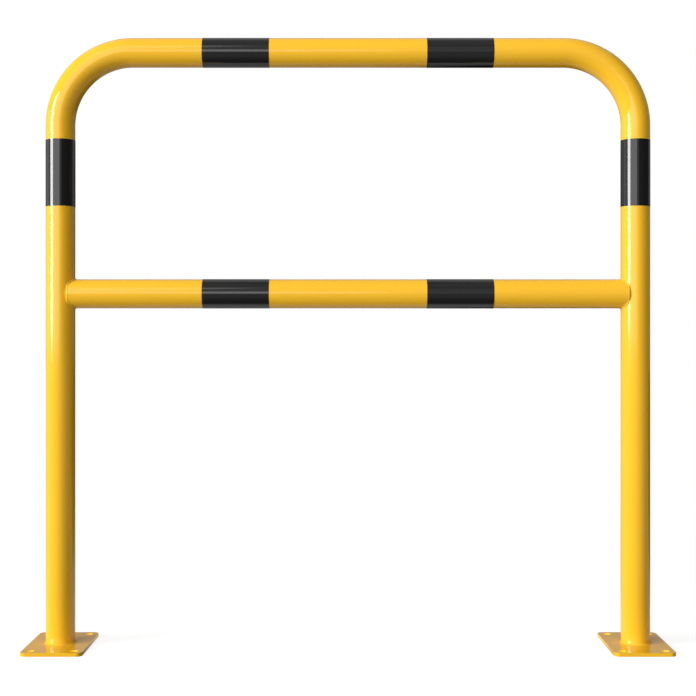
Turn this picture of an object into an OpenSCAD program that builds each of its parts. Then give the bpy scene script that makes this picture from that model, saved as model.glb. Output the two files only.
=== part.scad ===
// Barrier hoop: one tube bent to a hoop, with a knee rail of the same tube welded between its two posts,
// a bolt-down base plate under each post, and black film bands round the tubes.
// The hoop stands on Z = 0 in the XZ plane. Its front looks along -Y, and sizes are in millimetres.

/* [Hoop] */
// Width of the hoop over the outsides of its posts
hoop_w = 1000; // [800:10:2000]
// Height of the hoop's tube above its base plates
hoop_h = 1000; // [900:10:1300]
// Outer diameter of the tube that the hoop and the knee rail are made of
tube_d = 48; // [38:1:60]
// Wall of the tube
tube_wall = 2; // [1.5:0.5:5]
// Radius of the bends at the tube's centreline
bend_r = 120; // [80:5:200]

/* [Knee rail] */
// Height of the rail's centreline above the ground
rail_z = 583; // [300:1:690]
// Distance from the post's axis at which the two tips of a coped end are cut off
rail_tip = 15; // [11:0.5:18]

/* [Base plates] */
// Size of a plate along the hoop
plate_x = 100; // [90:5:160]
// Size of a plate across the hoop
plate_y = 160; // [120:5:240]
// Thickness of a plate
plate_t = 6; // [4:1:12]
// Radius of a plate's corners
plate_corner_r = 10; // [4:1:14]
// Diameter of the anchor holes
anchor_d = 12; // [8:1:16]
// Distance from an anchor hole's centre to the two edges beside it
anchor_edge = 15; // [12:1:22]
// Diameter of the drain hole under the post
drain_d = 16; // [6:1:30]

/* [Welds] */
// Size of the bead where the rail meets a post
rail_weld = 1.5; // [1:0.1:3]
// Gap that is left between the coped rail and the post before they are welded
root_gap = 0.3; // [0.1:0.1:1]
// Leg of the fillet where a post stands on its plate
foot_weld = 2; // [1:0.5:5]
// Diameter of the vent hole from a post into the rail
vent_d = 10; // [4:1:24]

/* [Film bands] */
// Width of a band
band_w = 110; // [40:5:150]
// Clear length between the two bands of a level tube
band_gap = 260; // [100:10:400]
// Straight length between a bend and the band on the post below it
band_drop = 25; // [10:1:80]
// Thickness of the film
film_t = 0.3; // [0.1:0.05:0.6]
// Thickness of the glue line under the film
film_glue = 0.05; // [0.02:0.01:0.1]
// Length by which a band's end laps over its start, at the back
film_lap = 12; // [5:1:20]

/* [Hidden] */
$fn = 96;

tube_r = tube_d / 2;
bore_d = tube_d - 2 * tube_wall;

// Axes of the posts, the level tube and the bends
post_x = hoop_w / 2 - tube_r;
top_z = plate_t + hoop_h - tube_r;
bend_x = post_x - bend_r;
bend_z = top_z - bend_r;

// Middles of the bands
level_band_x = (band_gap + band_w) / 2;
post_band_z = bend_z - band_drop - band_w / 2;

// Anchor holes, from the post's axis
anchor_x = plate_x / 2 - anchor_edge;
anchor_y = plate_y / 2 - anchor_edge;

// Length by which a cutting shape runs past the face it cuts
past = 1;

// Sections round a rail's weld bead, and steps across the skin of each
bead_sections = 72;
skin_steps = 7;

// The bead's facets stand this far off the round tubes, so that they don't cut into them
weld_seat = 0.04;
seat_r = tube_r + weld_seat;

coat_yellow = [0.99, 0.76, 0.12];
film_black = [0.09, 0.09, 0.09];

// A weld bead closes the seam round a rail's coped end. Its shape is worked out at an angle round the
// rail, from the front, in a frame whose X runs from the post's axis into the rail.

function unit(v) = v / norm(v);

// Outward normals of the rail and the post
function rail_normal(angle) = [0, -cos(angle), sin(angle)];
function post_normal(p) = unit([p.x, p.y, 0]);

// Distance from the post's axis to the rail's end: the cope on the flanks, and the cut at the two tips
function rail_end(angle) =
    max(sqrt(pow(tube_r + root_gap, 2) - pow(tube_r * cos(angle), 2)), rail_tip);

// A point moved square onto the bead's seat on either tube
function onto_rail(p) = let(r = norm([p.y, p.z])) [p.x, p.y * seat_r / r, p.z * seat_r / r];
function onto_post(p) = let(r = norm([p.x, p.y])) [p.x * seat_r / r, p.y * seat_r / r, p.z];

// Root of the bead on the rail, at the rail's edge
function root_on_rail(angle) = [rail_end(angle) - weld_seat, 0, 0] + seat_r * rail_normal(angle);

// Root of the bead on the post: where the way from the rail's edge to the plane of the post's axis,
// at the depth of the tips, reaches the post
function root_on_post(angle) = let(
    p = root_on_rail(angle),
    way = [rail_tip - weld_seat - p.x, -p.y],
    a = way * way,
    b = [p.x, p.y] * way,
    c = pow(p.x, 2) + pow(p.y, 2) - pow(seat_r, 2),
    part = (-b - sqrt(b * b - a * c)) / a
) [p.x + part * way.x, p.y + part * way.y, p.z];

// One section of the bead: its seat on the post, its skin, and its toe and root on the rail
function bead_section(angle) = let(
    step = 360 / bead_sections,
    root_r = root_on_rail(angle),
    root_p = root_on_post(angle),
    along = unit(root_on_post(angle + step) - root_on_post(angle - step)),
    middle = (root_r + root_p) / 2,
    reach = norm([rail_weld, norm(root_r - root_p) / 2]),
    toe_r = onto_rail(root_r + rail_weld * cross(along, rail_normal(angle))),
    toe_p = onto_post(root_p + reach * cross(post_normal(root_p), along)),
    crown = middle + sqrt(2) * reach * unit(toe_r + toe_p - 2 * middle)
) [
    root_r,
    root_p,
    onto_post((root_p + toe_p) / 2),
    for (i = [0 : skin_steps])
        let(t = i / skin_steps)
            pow(1 - t, 2) * toe_p + 2 * t * (1 - t) * crown + pow(t, 2) * toe_r
];

// Two triangles for each patch of a ring of sections, between one section and the next
function ring_faces(sections, points) = [
    for (s = [0 : sections - 1], p = [0 : points - 1])
        let(
            next_s = (s + 1) % sections,
            next_p = (p + 1) % points,
            a = s * points + p,
            b = s * points + next_p,
            c = next_s * points + next_p,
            d = next_s * points + p
        )
            each [[a, b, c], [a, c, d]]
];

module bead() {
    sections = [for (i = [0 : bead_sections - 1]) bead_section(360 * i / bead_sections)];
    polyhedron(
        points = [for (section = sections) each section],
        faces = ring_faces(len(sections), len(sections[0]))
    );
}

// A rod along the hoop's whole run, longer than the posts by the given length at its open ends
module hoop_run(d, longer = 0) {
    for (turn = [0, 180]) rotate([0, 0, turn]) {
        translate([post_x, 0, plate_t - longer])
            cylinder(d = d, h = bend_z - plate_t + longer);
        translate([bend_x, 0, bend_z])
            rotate([90, 0, 0])
                rotate_extrude(angle = 90)
                    translate([bend_r, 0])
                        circle(d = d);
    }
    translate([-bend_x, 0, top_z])
        rotate([0, 90, 0])
            cylinder(d = d, h = 2 * bend_x);
}

module hoop_tube() {
    color(coat_yellow)
        difference() {
            hoop_run(tube_d);
            hoop_run(bore_d, past);
            translate([-post_x, 0, rail_z])
                rotate([0, 90, 0])
                    cylinder(d = vent_d, h = 2 * post_x);
        }
}

module knee_rail() {
    half = post_x - rail_tip;
    color(coat_yellow)
        difference() {
            translate([-half, 0, rail_z])
                rotate([0, 90, 0])
                    cylinder(d = tube_d, h = 2 * half);
            translate([-half - past, 0, rail_z])
                rotate([0, 90, 0])
                    cylinder(d = bore_d, h = 2 * (half + past));
            for (side = [-1, 1])
                translate([side * post_x, 0, rail_z])
                    cylinder(r = tube_r + root_gap, h = tube_d + 2 * past, center = true);
        }
}

module rounded_rectangle(x, y, r) {
    square([x, y - 2 * r], center = true);
    square([x - 2 * r, y], center = true);
    for (sx = [-1, 1], sy = [-1, 1])
        translate([sx * (x / 2 - r), sy * (y / 2 - r)])
            circle(r = r);
}

module base_plate(side) {
    color(coat_yellow)
        translate([side * post_x, 0, 0])
            difference() {
                linear_extrude(plate_t)
                    rounded_rectangle(plate_x, plate_y, plate_corner_r);
                for (sx = [-1, 1], sy = [-1, 1])
                    translate([sx * anchor_x, sy * anchor_y, -past])
                        cylinder(d = anchor_d, h = plate_t + 2 * past);
                translate([0, 0, -past])
                    cylinder(d = drain_d, h = plate_t + 2 * past);
            }
}

// A slightly full fillet in the corner of the axes
module fillet_profile(leg) {
    fullness = leg / 2;
    intersection() {
        square(leg);
        translate([-fullness, -fullness])
            circle(r = norm([leg + fullness, fullness]));
    }
}

module foot_weld(side) {
    color(coat_yellow)
        translate([side * post_x, 0, plate_t])
            rotate_extrude()
                translate([tube_r, 0])
                    fillet_profile(foot_weld);
}

// The left joint is drawn, and the right one is the same joint turned half round
module rail_weld(side) {
    color(coat_yellow)
        translate([side * post_x, 0, rail_z])
            rotate([0, 0, side < 0 ? 0 : 180])
                bead();
}

// Cross-section of the film round a tube: a ring, and the lap that lies on it at +Y
module film_section() {
    film_r = tube_r + film_glue;
    difference() {
        union() {
            circle(r = film_r + film_t);
            intersection() {
                circle(r = film_r + 2 * film_t);
                translate([-film_lap / 2, 0])
                    square([film_lap, tube_d]);
            }
        }
        circle(r = film_r);
    }
}

// One wrap of film round a tube along Z
module film_band() {
    color(film_black)
        linear_extrude(band_w, center = true)
            film_section();
}

module level_band(side, z) {
    translate([side * level_band_x, 0, z])
        rotate([0, 90, 0])
            film_band();
}

module post_band(side) {
    translate([side * post_x, 0, post_band_z])
        film_band();
}

hoop_tube();
knee_rail();
base_plate(-1);  // base_plate_left
base_plate(1);  // base_plate_right
foot_weld(-1);  // foot_weld_left
foot_weld(1);  // foot_weld_right
rail_weld(-1);  // rail_weld_left
rail_weld(1);  // rail_weld_right
level_band(-1, top_z);  // band_top_left
level_band(1, top_z);  // band_top_right
level_band(-1, rail_z);  // band_rail_left
level_band(1, rail_z);  // band_rail_right
post_band(-1);  // band_post_left
post_band(1);  // band_post_right
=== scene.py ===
import math

import bpy
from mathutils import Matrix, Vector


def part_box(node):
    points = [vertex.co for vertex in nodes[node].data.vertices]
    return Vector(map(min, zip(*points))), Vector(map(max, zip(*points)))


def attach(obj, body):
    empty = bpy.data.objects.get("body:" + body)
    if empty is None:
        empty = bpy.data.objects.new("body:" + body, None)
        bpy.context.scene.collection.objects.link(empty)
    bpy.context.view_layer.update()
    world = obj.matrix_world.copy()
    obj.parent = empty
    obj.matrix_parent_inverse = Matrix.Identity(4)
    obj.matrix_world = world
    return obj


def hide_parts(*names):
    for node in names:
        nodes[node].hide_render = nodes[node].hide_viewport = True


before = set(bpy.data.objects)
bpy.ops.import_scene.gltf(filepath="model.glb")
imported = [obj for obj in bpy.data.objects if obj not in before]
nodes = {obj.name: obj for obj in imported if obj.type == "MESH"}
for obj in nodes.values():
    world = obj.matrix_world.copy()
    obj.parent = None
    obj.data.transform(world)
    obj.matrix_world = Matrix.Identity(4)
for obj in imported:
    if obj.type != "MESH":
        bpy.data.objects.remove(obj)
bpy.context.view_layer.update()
print("frame loaded:", len(nodes), "nodes")


# Small helpers for the work below

shading = {"mergeWithin": 1e-6, "smoothUpTo": 40}


def deselectAll():
    bpy.ops.object.select_all(action="DESELECT")


def workOn(piece):
    deselectAll()
    piece.select_set(True)
    bpy.context.view_layer.objects.active = piece


def editMode():
    bpy.ops.object.mode_set(mode="EDIT")


def objectMode():
    bpy.ops.object.mode_set(mode="OBJECT")


def applyModifier(kind, **settings):
    piece = bpy.context.object
    bpy.ops.object.modifier_add(type=kind)
    modifier = piece.modifiers[-1]
    for setting, value in settings.items():
        setattr(modifier, setting, value)
    bpy.ops.object.modifier_apply(modifier=modifier.name)


def facesOut():
    editMode()
    bpy.ops.mesh.select_all(action="SELECT")
    bpy.ops.mesh.remove_doubles(threshold=shading["mergeWithin"])
    bpy.ops.mesh.normals_make_consistent(inside=False)
    objectMode()


def editFaces(test):
    # edit mode with only the faces that pass the test selected
    editMode()
    bpy.ops.mesh.select_mode(type="FACE")
    bpy.ops.mesh.select_all(action="DESELECT")
    objectMode()
    for face in bpy.context.object.data.polygons:
        face.select = test(face)
    editMode()


def smoothCurves():
    bpy.ops.object.shade_smooth_by_angle(angle=math.radians(shading["smoothUpTo"]))


def placeInMesh():
    bpy.ops.object.transform_apply(location=True, rotation=True, scale=True)


def cutUpright(piece, sides, radius, depth, spot):
    # takes an upright cylinder out of the piece
    bpy.ops.mesh.primitive_cylinder_add(vertices=sides, radius=radius, depth=depth, location=spot)
    cutter = bpy.context.object
    workOn(piece)
    applyModifier("BOOLEAN", operation="DIFFERENCE", solver="EXACT", object=cutter)
    bpy.data.objects.remove(cutter)
    workOn(piece)


def copyPlaced(piece, newName, spot, turn=0):
    # a copy with a mesh of its own, turned about Y and moved in its mesh
    twin = piece.copy()
    twin.data = piece.data.copy()
    twin.name = twin.data.name = newName
    bpy.context.scene.collection.objects.link(twin)
    twin.location = spot
    twin.rotation_euler.y = math.radians(turn)
    workOn(twin)
    placeInMesh()
    return twin


# The hoop: one bent tube

hoop = {
    "radius": 0.024, "wall": 0.002, "bend": 0.12,
    "around": 96, "bendSteps": 40,
}


def hoopTubePiece():
    low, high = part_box("hoop_tube")
    r, bend = hoop["radius"], hoop["bend"]
    sideX = high.x - r
    topZ = high.z - r
    bendX, bendZ = sideX - bend, topZ - bend
    quarter = {"steps": hoop["bendSteps"], "angle": math.radians(-90), "axis": (0, 1, 0)}
    deselectAll()
    bpy.ops.mesh.primitive_circle_add(vertices=hoop["around"], radius=r, fill_type="NOTHING",
                                      location=(-sideX, 0, low.z))
    piece = bpy.context.object
    piece.name = piece.data.name = "hoopTube"
    placeInMesh()
    editMode()
    bpy.ops.mesh.select_all(action="SELECT")
    rise = bendZ - low.z
    bpy.ops.mesh.extrude_region_move(TRANSFORM_OT_translate={"value": (0, 0, rise)})
    bpy.ops.mesh.spin(center=(-bendX, 0, bendZ), **quarter)
    bpy.ops.mesh.extrude_region_move(TRANSFORM_OT_translate={"value": (2 * bendX, 0, 0)})
    bpy.ops.mesh.spin(center=(bendX, 0, bendZ), **quarter)
    bpy.ops.mesh.extrude_region_move(TRANSFORM_OT_translate={"value": (0, 0, -rise)})
    objectMode()
    facesOut()
    applyModifier("SOLIDIFY", thickness=hoop["wall"], offset=-1, use_even_offset=True)
    smoothCurves()
    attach(piece, "root")
    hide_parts("hoop_tube")
    return piece


# The knee rail: a straight tube whose ends are coped to the posts

rail = {
    "radius": 0.024, "wall": 0.002, "around": 96,
    "cope": 0.0243, "copeSides": 192, "copeDepth": 0.06,
}


def kneeRailPiece(postX):
    low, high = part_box("knee_rail")
    z = (low.z + high.z) / 2
    deselectAll()
    bpy.ops.mesh.primitive_circle_add(vertices=rail["around"], radius=rail["radius"], fill_type="NOTHING",
                                      location=(low.x, 0, z), rotation=(0, math.radians(90), 0))
    piece = bpy.context.object
    piece.name = piece.data.name = "kneeRail"
    placeInMesh()
    editMode()
    bpy.ops.mesh.select_all(action="SELECT")
    bpy.ops.mesh.extrude_region_move(TRANSFORM_OT_translate={"value": (high.x - low.x, 0, 0)})
    objectMode()
    facesOut()
    applyModifier("SOLIDIFY", thickness=rail["wall"], offset=-1, use_even_offset=True)
    for side in (-1, 1):
        cutUpright(piece, rail["copeSides"], rail["cope"], rail["copeDepth"], (side * postX, 0, z))
    smoothCurves()
    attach(piece, "root")
    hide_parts("knee_rail")
    return piece


# The base plates: cut plate with round corners, four anchor holes and a drain hole, its arrises softened

plate = {
    "corner": 0.01, "cornerSteps": 12, "anchor": 0.006, "anchorEdge": 0.015,
    "drain": 0.008, "holeSides": 48, "holeDepth": 0.02, "arris": 0.0007, "arrisSteps": 3, "arrisFrom": 50,
}


def basePlatePieces():
    low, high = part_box("base_plate_left")
    middle = (low + high) / 2
    size = high - low
    deselectAll()
    bpy.ops.mesh.primitive_cube_add(size=1, location=middle, scale=size)
    left = bpy.context.object
    left.name = left.data.name = "basePlateLeft"
    placeInMesh()
    editMode()
    bpy.ops.mesh.select_mode(type="EDGE")
    bpy.ops.mesh.select_all(action="DESELECT")
    objectMode()
    for edge in left.data.edges:
        a, b = (left.data.vertices[v].co for v in edge.vertices)
        edge.select = abs(a.z - b.z) > size.z / 2  # the four upright edges
    editMode()
    bpy.ops.mesh.bevel(offset=plate["corner"], offset_type="OFFSET", segments=plate["cornerSteps"],
                       affect="EDGES")
    objectMode()
    ax, ay = size.x / 2 - plate["anchorEdge"], size.y / 2 - plate["anchorEdge"]
    holes = [(sx * ax, sy * ay, plate["anchor"]) for sx in (-1, 1) for sy in (-1, 1)]
    for x, y, r in [*holes, (0, 0, plate["drain"])]:
        cutUpright(left, plate["holeSides"], r, plate["holeDepth"], (middle.x + x, middle.y + y, middle.z))
    applyModifier("BEVEL", width=plate["arris"], segments=plate["arrisSteps"], limit_method="ANGLE",
                  angle_limit=math.radians(plate["arrisFrom"]))
    smoothCurves()
    applyModifier("WEIGHTED_NORMAL", keep_sharp=True)  # the wide faces look flat up to the arrises
    right = copyPlaced(left, "basePlateRight", (-2 * middle.x, 0, 0))
    for piece, node in ((left, "base_plate_left"), (right, "base_plate_right")):
        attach(piece, "root")
        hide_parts(node)
    return left, right


# The film bands: one wrap of film round each tube, its end lapped over its start at the back

wrap = {
    "radius": 0.02435, "film": 0.0003, "around": 96, "lap": 0.012,
    "turns": {"top": 90, "rail": 90, "post": 0},
}


def filmBand(width):
    # one band round the Z axis, with its middle at the origin
    reach = wrap["lap"] / 2
    deselectAll()
    bpy.ops.mesh.primitive_circle_add(vertices=wrap["around"], radius=wrap["radius"], fill_type="NOTHING",
                                      location=(0, 0, -width / 2),
                                      rotation=(0, 0, math.pi / wrap["around"]))
    band = bpy.context.object
    placeInMesh()
    editMode()
    bpy.ops.mesh.select_all(action="SELECT")
    bpy.ops.mesh.extrude_region_move(TRANSFORM_OT_translate={"value": (0, 0, width)})
    objectMode()
    facesOut()
    for side in (-1, 1):
        editFaces(lambda face: face.center.y > 0)
        bpy.ops.mesh.bisect(plane_co=(side * reach, 0, 0), plane_no=(1, 0, 0))
        objectMode()
    applyModifier("SOLIDIFY", thickness=wrap["film"], offset=-1, use_even_offset=True)
    editFaces(lambda face: face.center.y > 0 and face.normal.y > 0.9 and abs(face.center.x) < reach)
    bpy.ops.mesh.extrude_region_move(TRANSFORM_OT_translate={"value": (0, 0, 0)})
    wider = 1 + wrap["film"] / wrap["radius"]
    bpy.ops.transform.resize(value=(wider, wider, 1), center_override=(0, 0, 0))
    objectMode()
    smoothCurves()
    return band


def filmBandPieces():
    low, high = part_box("band_post_left")
    band = filmBand(high.z - low.z)
    pieces = []
    for place, turn in wrap["turns"].items():
        for side in ("left", "right"):
            node = f"band_{place}_{side}"
            low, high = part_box(node)
            spot = ((low.x + high.x) / 2, 0, (low.z + high.z) / 2)
            piece = copyPlaced(band, "filmBand" + place.title() + side.title(), spot, turn)
            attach(piece, "root")
            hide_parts(node)
            pieces.append(piece)
    bpy.data.objects.remove(band)
    return pieces


hoopTube = hoopTubePiece()
print("hoop tube bent")
plateLow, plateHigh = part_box("base_plate_right")
postX = (plateLow.x + plateHigh.x) / 2
kneeRail = kneeRailPiece(postX)
print("knee rail coped")
plates = basePlatePieces()
print("base plates cut")
bands = filmBandPieces()
print("film bands wrapped")


# Finishes

def newTree(tree):
    tree.nodes.clear()
    return tree


def newMaterial(title):
    material = bpy.data.materials.new(title)
    material.use_nodes = True
    newTree(material.node_tree)
    return material


def addNode(tree, kind, spot, values=None, **settings):
    node = tree.nodes.new(kind)
    node.location = spot
    for setting, value in settings.items():
        setattr(node, setting, value)
    for socket, value in (values or {}).items():
        node.inputs[socket].default_value = value
    return node


def newGroup(title, sockets):
    # sockets: (name, kind, value) for inputs, (name, kind) for outputs
    tree = bpy.data.node_groups.new(title, "ShaderNodeTree")
    for name, kind, *value in sockets:
        way = "INPUT" if value else "OUTPUT"
        made = tree.interface.new_socket(name=name, in_out=way, socket_type="NodeSocket" + kind)
        if value:
            made.default_value = value[0]
    return tree


def useGroup(tree, group, spot, values):
    node = tree.nodes.new("ShaderNodeGroup")
    node.node_tree = group
    node.location = spot
    for socket, value in values.items():
        node.inputs[socket].default_value = value
    return node


def addRamp(tree, spot, ends, levels=(0, 1)):
    # an even step from one level to the other between the two ends
    values = {"From Min": ends[0], "From Max": ends[1], "To Min": levels[0], "To Max": levels[1]}
    return addNode(tree, "ShaderNodeMapRange", spot, values, interpolation_type="SMOOTHSTEP")


def sprayedSkinGroup():
    # a sprayed and stoved coat: a faint drift of shade, a little orange peel, gloss that varies a touch
    group = newGroup("sprayedSkin", [
        ("Coordinates", "Vector", (0, 0, 0)),
        ("Colour", "Color", (1, 1, 1, 1)), ("Thin Colour", "Color", (1, 1, 1, 1)),
        ("Drift", "Float", 0.5), ("Peel Size", "Float", 400.0), ("Peel Depth", "Float", 0.2),
        ("Gloss Roughness", "Float", 0.1), ("Roughness Spread", "Float", 0.03),
        ("Colour", "Color"), ("Roughness", "Float"), ("Height", "Float"),
    ])
    into = addNode(group, "NodeGroupInput", (-900, 0))
    out = addNode(group, "NodeGroupOutput", (700, 0))
    wide = addNode(group, "ShaderNodeTexNoise", (-600, 300),
                   {"Scale": 7.0, "Detail": 3.0, "Roughness": 0.55})
    peel = addNode(group, "ShaderNodeTexNoise", (-600, -50), {"Detail": 1.5, "Roughness": 0.4})
    sheen = addNode(group, "ShaderNodeTexNoise", (-600, -350),
                    {"Scale": 35.0, "Detail": 4.0, "Roughness": 0.6})
    for noise in (wide, peel, sheen):
        group.links.new(into.outputs["Coordinates"], noise.inputs["Vector"])
    group.links.new(into.outputs["Peel Size"], peel.inputs["Scale"])
    drift = addNode(group, "ShaderNodeMapRange", (-350, 300), {"From Min": 0.35, "From Max": 0.7})
    group.links.new(wide.outputs[0], drift.inputs["Value"])
    share = addNode(group, "ShaderNodeMath", (-120, 300), operation="MULTIPLY")
    group.links.new(drift.outputs[0], share.inputs[0])
    group.links.new(into.outputs["Drift"], share.inputs[1])
    shade = addNode(group, "ShaderNodeMix", (120, 250), data_type="RGBA")
    group.links.new(share.outputs[0], shade.inputs["Factor"])
    group.links.new(into.outputs["Colour"], shade.inputs[6])
    group.links.new(into.outputs["Thin Colour"], shade.inputs[7])
    spread = addNode(group, "ShaderNodeMath", (-120, -350), {1: 0.5}, operation="SUBTRACT")
    group.links.new(sheen.outputs[0], spread.inputs[0])
    rough = addNode(group, "ShaderNodeMath", (120, -300), operation="MULTIPLY_ADD")
    group.links.new(spread.outputs[0], rough.inputs[0])
    group.links.new(into.outputs["Roughness Spread"], rough.inputs[1])
    group.links.new(into.outputs["Gloss Roughness"], rough.inputs[2])
    height = addNode(group, "ShaderNodeMath", (120, -50), operation="MULTIPLY")
    group.links.new(peel.outputs[0], height.inputs[0])
    group.links.new(into.outputs["Peel Depth"], height.inputs[1])
    group.links.new(shade.outputs[2], out.inputs["Colour"])
    group.links.new(rough.outputs[0], out.inputs["Roughness"])
    group.links.new(height.outputs[0], out.inputs["Height"])
    return group


def paintedMaterial(title, finish, skin):
    material = newMaterial(title)
    tree = material.node_tree
    out = addNode(tree, "ShaderNodeOutputMaterial", (700, 0))
    shader = addNode(tree, "ShaderNodeBsdfPrincipled", (400, 0), {"IOR": finish["ior"]})
    place = addNode(tree, "ShaderNodeTexCoord", (-500, 0))
    sprayed = useGroup(tree, skin, (-200, 0), finish["skin"])
    bump = addNode(tree, "ShaderNodeBump", (150, -250), {"Strength": finish["bump"], "Distance": 0.001})
    tree.links.new(place.outputs["Object"], sprayed.inputs["Coordinates"])
    tree.links.new(sprayed.outputs["Colour"], shader.inputs["Base Color"])
    tree.links.new(sprayed.outputs["Roughness"], shader.inputs["Roughness"])
    tree.links.new(sprayed.outputs["Height"], bump.inputs["Height"])
    tree.links.new(bump.outputs["Normal"], shader.inputs["Normal"])
    tree.links.new(shader.outputs["BSDF"], out.inputs["Surface"])
    return material


coat = {
    "ior": 1.45, "bump": 0.05,
    "skin": {
        "Colour": (0.98, 0.545, 0.026, 1), "Thin Colour": (0.96, 0.52, 0.022, 1), "Drift": 0.5,
        "Peel Size": 220.0, "Peel Depth": 0.05, "Gloss Roughness": 0.09, "Roughness Spread": 0.04,
    },
}
weldCoat = {
    "ior": 1.45, "bump": 0.4,
    "skin": {
        "Colour": (0.98, 0.545, 0.026, 1), "Thin Colour": (0.96, 0.52, 0.022, 1), "Drift": 0.5,
        "Peel Size": 300.0, "Peel Depth": 0.3, "Gloss Roughness": 0.3, "Roughness Spread": 0.1,
    },
}
film = {
    "ior": 1.55, "bump": 0.1,
    "skin": {
        "Colour": (0.011, 0.011, 0.011, 1), "Thin Colour": (0.014, 0.014, 0.014, 1), "Drift": 0.6,
        "Peel Size": 120.0, "Peel Depth": 0.05, "Gloss Roughness": 0.08, "Roughness Spread": 0.04,
    },
}

sprayedSkin = sprayedSkinGroup()
yellowCoat = paintedMaterial("yellowCoat", coat, sprayedSkin)
coatOverWeld = paintedMaterial("coatOverWeld", weldCoat, sprayedSkin)
blackFilm = paintedMaterial("blackFilm", film, sprayedSkin)


def dress(piece, material):
    piece.data.materials.clear()
    piece.data.materials.append(material)


for piece in (hoopTube, kneeRail, *plates):
    dress(piece, yellowCoat)
for piece in bands:
    dress(piece, blackFilm)
for name, node in nodes.items():
    nodeCoat = coatOverWeld if "weld" in name else yellowCoat
    dress(node, blackFilm if name.startswith("band") else nodeCoat)
print("finishes made")


# Studio: each lamp as turn from the front, rise, distance, width, height and glow

lamps = {
    "keyStrip": (-61.5, 12.6, 20.0, 7.6, 8.6, 16.0),
    "frontWall": (-25.5, 8.7, 20.0, 20.2, 6.3, 2.45),
    "frontEdge": (9, 8.7, 20.0, 5.0, 6.3, 0.48),
    "leftWall": (-96, 8.7, 20.0, 12.0, 6.3, 0.9),
    "leftHigh": (-28, 33, 14.0, 8.0, 8.0, 1.5),
    "frontHigh": (0, 30, 20.0, 16.0, 8.0, 0.42),
    "softTop": (-30, 42, 6.0, 8.0, 7.0, 0.54),
    "overhead": (0, 88, 8.0, 12.0, 14.0, 0.26),
}
studio = {
    "eyeLevel": 0.5, "noHighlight": "softTop",
    "frontFill": 0.07, "backFill": 0.1, "backdropShare": 0.35, "backdropFrom": (0.1, 0.6),
    "darkStraight": (0.72, 0.88), "litFrom": (0.12, 0.18), "litTo": (0.28, 0.4),
}


def addLamp(title, turn, rise, distance, width, height, glow):
    around, up = math.radians(turn), math.radians(rise)
    data = bpy.data.lights.new(title, "AREA")
    data.shape = "RECTANGLE"
    data.size, data.size_y = width, height
    data.energy = math.pi * glow * width * height
    lamp = bpy.data.objects.new(title, data)
    level = distance * math.cos(up)
    lamp.location = (level * math.sin(around), -level * math.cos(around),
                     distance * math.sin(up) + studio["eyeLevel"])
    lamp.rotation_euler = (math.radians(90 - rise), 0, around)
    lamp.visible_glossy = title != studio["noHighlight"]
    bpy.context.scene.collection.objects.link(lamp)


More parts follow.
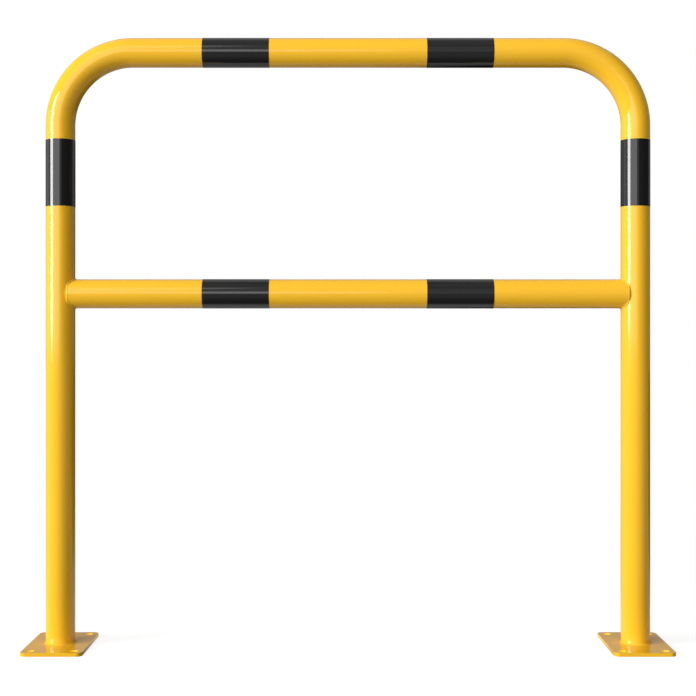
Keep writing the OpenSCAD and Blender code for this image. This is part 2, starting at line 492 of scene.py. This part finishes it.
def studioWorld():
    # white to the camera; reflections find a paler backdrop behind and a dim room in front
    # straight behind, only the band that the base plates mirror is lit
    world = bpy.data.worlds.new("studio")
    bpy.context.scene.world = world
    world.use_nodes = True
    tree = newTree(world.node_tree)
    out = addNode(tree, "ShaderNodeOutputWorld", (1000, 0))
    mix = addNode(tree, "ShaderNodeMixShader", (800, 0))
    path = addNode(tree, "ShaderNodeLightPath", (-200, 500))
    white = addNode(tree, "ShaderNodeBackground", (500, -150), {"Color": (1, 1, 1, 1)})
    fill = addNode(tree, "ShaderNodeBackground", (500, 50))
    place = addNode(tree, "ShaderNodeTexCoord", (-700, 0))
    split = addNode(tree, "ShaderNodeSeparateXYZ", (-500, 0))
    behind = addRamp(tree, (-300, 0), studio["backdropFrom"])
    level = addNode(tree, "ShaderNodeMix", (0, 50), {2: studio["frontFill"], 3: studio["backFill"]})
    low = addRamp(tree, (-300, -300), studio["litFrom"])
    high = addRamp(tree, (-300, -550), studio["litTo"])
    core = addRamp(tree, (-300, -800), studio["darkStraight"])
    band = addNode(tree, "ShaderNodeMath", (-100, -400), operation="SUBTRACT")
    offBand = addNode(tree, "ShaderNodeMath", (50, -400), {0: 1.0}, operation="SUBTRACT")
    dark = addNode(tree, "ShaderNodeMath", (200, -400), operation="MULTIPLY")
    spared = addNode(tree, "ShaderNodeMath", (350, -400), {0: 1.0}, operation="SUBTRACT")
    shared = addNode(tree, "ShaderNodeMath", (0, 100), operation="MULTIPLY")
    share = addNode(tree, "ShaderNodeMath", (0, 250), {1: studio["backdropShare"]}, operation="MULTIPLY")
    glossy = addNode(tree, "ShaderNodeMath", (200, 300), operation="MULTIPLY")
    plain = addNode(tree, "ShaderNodeMath", (200, 500), operation="MAXIMUM")
    seen = addNode(tree, "ShaderNodeMath", (450, 350), operation="MAXIMUM")
    tree.links.new(place.outputs["Generated"], split.inputs[0])
    tree.links.new(split.outputs["Y"], behind.inputs["Value"])
    tree.links.new(behind.outputs[0], level.inputs[0])
    tree.links.new(level.outputs[0], fill.inputs["Strength"])
    tree.links.new(split.outputs["Z"], low.inputs["Value"])
    tree.links.new(split.outputs["Z"], high.inputs["Value"])
    tree.links.new(split.outputs["Y"], core.inputs["Value"])
    tree.links.new(low.outputs[0], band.inputs[0])
    tree.links.new(high.outputs[0], band.inputs[1])
    tree.links.new(band.outputs[0], offBand.inputs[1])
    tree.links.new(offBand.outputs[0], dark.inputs[0])
    tree.links.new(core.outputs[0], dark.inputs[1])
    tree.links.new(dark.outputs[0], spared.inputs[1])
    tree.links.new(behind.outputs[0], shared.inputs[0])
    tree.links.new(spared.outputs[0], shared.inputs[1])
    tree.links.new(shared.outputs[0], share.inputs[0])
    tree.links.new(path.outputs["Is Glossy Ray"], glossy.inputs[0])
    tree.links.new(share.outputs[0], glossy.inputs[1])
    tree.links.new(path.outputs["Is Camera Ray"], plain.inputs[0])
    tree.links.new(path.outputs["Is Transmission Ray"], plain.inputs[1])
    tree.links.new(plain.outputs[0], seen.inputs[0])
    tree.links.new(glossy.outputs[0], seen.inputs[1])
    tree.links.new(seen.outputs[0], mix.inputs[0])
    tree.links.new(fill.outputs[0], mix.inputs[1])
    tree.links.new(white.outputs[0], mix.inputs[2])
    tree.links.new(mix.outputs[0], out.inputs[0])


# The floor: to the object it is a painted glow, no lamp, set here by its place, with the ends of each step
# in metres

ground = {
    "radius": 30, "sides": 128,
    "near": 0.06, "far": 0.25, "nearToFar": (0.35, 1.5),
    "under": 0.7, "frontToUnder": (-0.12, 0.08),
    "left": 0.4, "right": 0.0, "leftToRight": (0.0, 0.4), "underToBack": (0.15, 0.8),
    # painted light: the floor under each plate glows brightly so that the walls of its holes look lit
    "holes": 2.4, "plateX": 0.046, "plateY": 0.076,
    "cameraGlow": 0.8, "paper": 0.4, "shadowToWhite": (0.7, 1.6),
}


def floorPiece():
    # to the camera, white with the object's soft shadow near it
    # to the object, a painted glow: dim in front, bright under it, dark behind to the right, and brightest
    # under the plates, a painted light on the walls of their holes
    deselectAll()
    bpy.ops.mesh.primitive_circle_add(vertices=ground["sides"], radius=ground["radius"], fill_type="NGON",
                                      location=(0, 0, 0))
    floor = bpy.context.object
    floor.name = floor.data.name = "floor"
    material = newMaterial("paleFloor")
    material.cycles.emission_sampling = "NONE"
    tree = material.node_tree
    out = addNode(tree, "ShaderNodeOutputMaterial", (1000, 0))
    seen = addNode(tree, "ShaderNodeMixShader", (800, 0))
    path = addNode(tree, "ShaderNodeLightPath", (400, 600))
    plain = addNode(tree, "ShaderNodeMath", (600, 400), operation="MAXIMUM")
    place = addNode(tree, "ShaderNodeTexCoord", (-900, 0))
    split = addNode(tree, "ShaderNodeSeparateXYZ", (-700, 200))
    reach = addNode(tree, "ShaderNodeVectorMath", (-700, -100), operation="LENGTH")
    outward = addRamp(tree, (-500, 0), ground["nearToFar"], (ground["near"], ground["far"]))
    behind = addRamp(tree, (-500, 250), ground["frontToUnder"])
    away = addRamp(tree, (-500, 500), ground["underToBack"])
    rightward = addRamp(tree, (-500, 750), ground["leftToRight"])
    # mask of the floor under each plate, where the painted hole light glows
    across = addNode(tree, "ShaderNodeMath", (-500, -700), operation="ABSOLUTE")
    alongX = addNode(tree, "ShaderNodeMath", (-300, -700), {1: postX, 2: ground["plateX"]},
                     operation="COMPARE")
    alongY = addNode(tree, "ShaderNodeMath", (-300, -900), {1: 0.0, 2: ground["plateY"]},
                     operation="COMPARE")
    paintedHoleLightMask = addNode(tree, "ShaderNodeMath", (-100, -800), operation="MULTIPLY")
    paintedHoleLight = addNode(tree, "ShaderNodeMix", (250, 350), {3: ground["holes"]})
    far = addNode(tree, "ShaderNodeMix", (-250, 650), {2: ground["left"], 3: ground["right"]})
    back = addNode(tree, "ShaderNodeMix", (-50, 450), {2: ground["under"]})
    level = addNode(tree, "ShaderNodeMix", (150, 250))
    paintedFloorGlow = addNode(tree, "ShaderNodeEmission", (400, 150))
    glow = addNode(tree, "ShaderNodeEmission", (0, -250), {"Strength": ground["cameraGlow"]})
    paper = addNode(tree, "ShaderNodeBsdfDiffuse", (0, -400), {"Color": (*[ground["paper"]] * 3, 1)})
    shaded = addNode(tree, "ShaderNodeAddShader", (200, -300))
    white = addNode(tree, "ShaderNodeEmission", (200, -150), {"Strength": 1.0})
    clear = addRamp(tree, (200, 0), ground["shadowToWhite"])
    fade = addNode(tree, "ShaderNodeMixShader", (500, -150))
    tree.links.new(place.outputs["Object"], split.inputs[0])
    tree.links.new(place.outputs["Object"], reach.inputs[0])
    tree.links.new(reach.outputs["Value"], outward.inputs["Value"])
    tree.links.new(reach.outputs["Value"], clear.inputs["Value"])
    tree.links.new(split.outputs["Y"], behind.inputs["Value"])
    tree.links.new(split.outputs["Y"], away.inputs["Value"])
    tree.links.new(split.outputs["X"], rightward.inputs["Value"])
    tree.links.new(rightward.outputs[0], far.inputs[0])
    tree.links.new(away.outputs[0], back.inputs[0])
    tree.links.new(far.outputs[0], back.inputs[3])
    tree.links.new(behind.outputs[0], level.inputs[0])
    tree.links.new(outward.outputs[0], level.inputs[2])
    tree.links.new(back.outputs[0], level.inputs[3])
    tree.links.new(split.outputs["X"], across.inputs[0])
    tree.links.new(across.outputs[0], alongX.inputs[0])
    tree.links.new(split.outputs["Y"], alongY.inputs[0])
    tree.links.new(alongX.outputs[0], paintedHoleLightMask.inputs[0])
    tree.links.new(alongY.outputs[0], paintedHoleLightMask.inputs[1])
    tree.links.new(paintedHoleLightMask.outputs[0], paintedHoleLight.inputs[0])
    tree.links.new(level.outputs[0], paintedHoleLight.inputs[2])
    tree.links.new(paintedHoleLight.outputs[0], paintedFloorGlow.inputs["Strength"])
    tree.links.new(glow.outputs[0], shaded.inputs[0])
    tree.links.new(paper.outputs[0], shaded.inputs[1])
    tree.links.new(clear.outputs[0], fade.inputs[0])
    tree.links.new(shaded.outputs[0], fade.inputs[1])
    tree.links.new(white.outputs[0], fade.inputs[2])
    tree.links.new(path.outputs["Is Camera Ray"], plain.inputs[0])
    tree.links.new(path.outputs["Is Transmission Ray"], plain.inputs[1])
    tree.links.new(plain.outputs[0], seen.inputs[0])
    tree.links.new(paintedFloorGlow.outputs[0], seen.inputs[1])
    tree.links.new(fade.outputs[0], seen.inputs[2])
    tree.links.new(seen.outputs[0], out.inputs[0])
    floor.data.materials.append(material)


for title, values in lamps.items():
    addLamp(title, *values)
studioWorld()
floorPiece()
print("studio lit")


# Camera

view = {"back": 2.25488, "height": 0.49714, "sensor": 36, "lens": 70.42, "shiftY": -0.0033}

camera = bpy.data.objects.new("camera", bpy.data.cameras.new("camera"))
bpy.context.scene.collection.objects.link(camera)
camera.location = (0, -view["back"], view["height"])
camera.rotation_euler = (math.radians(90), 0, 0)
camera.data.sensor_width = view["sensor"]
camera.data.lens = view["lens"]
camera.data.shift_y = view["shiftY"]
bpy.context.scene.camera = camera
bpy.context.scene.view_settings.view_transform = "Standard"
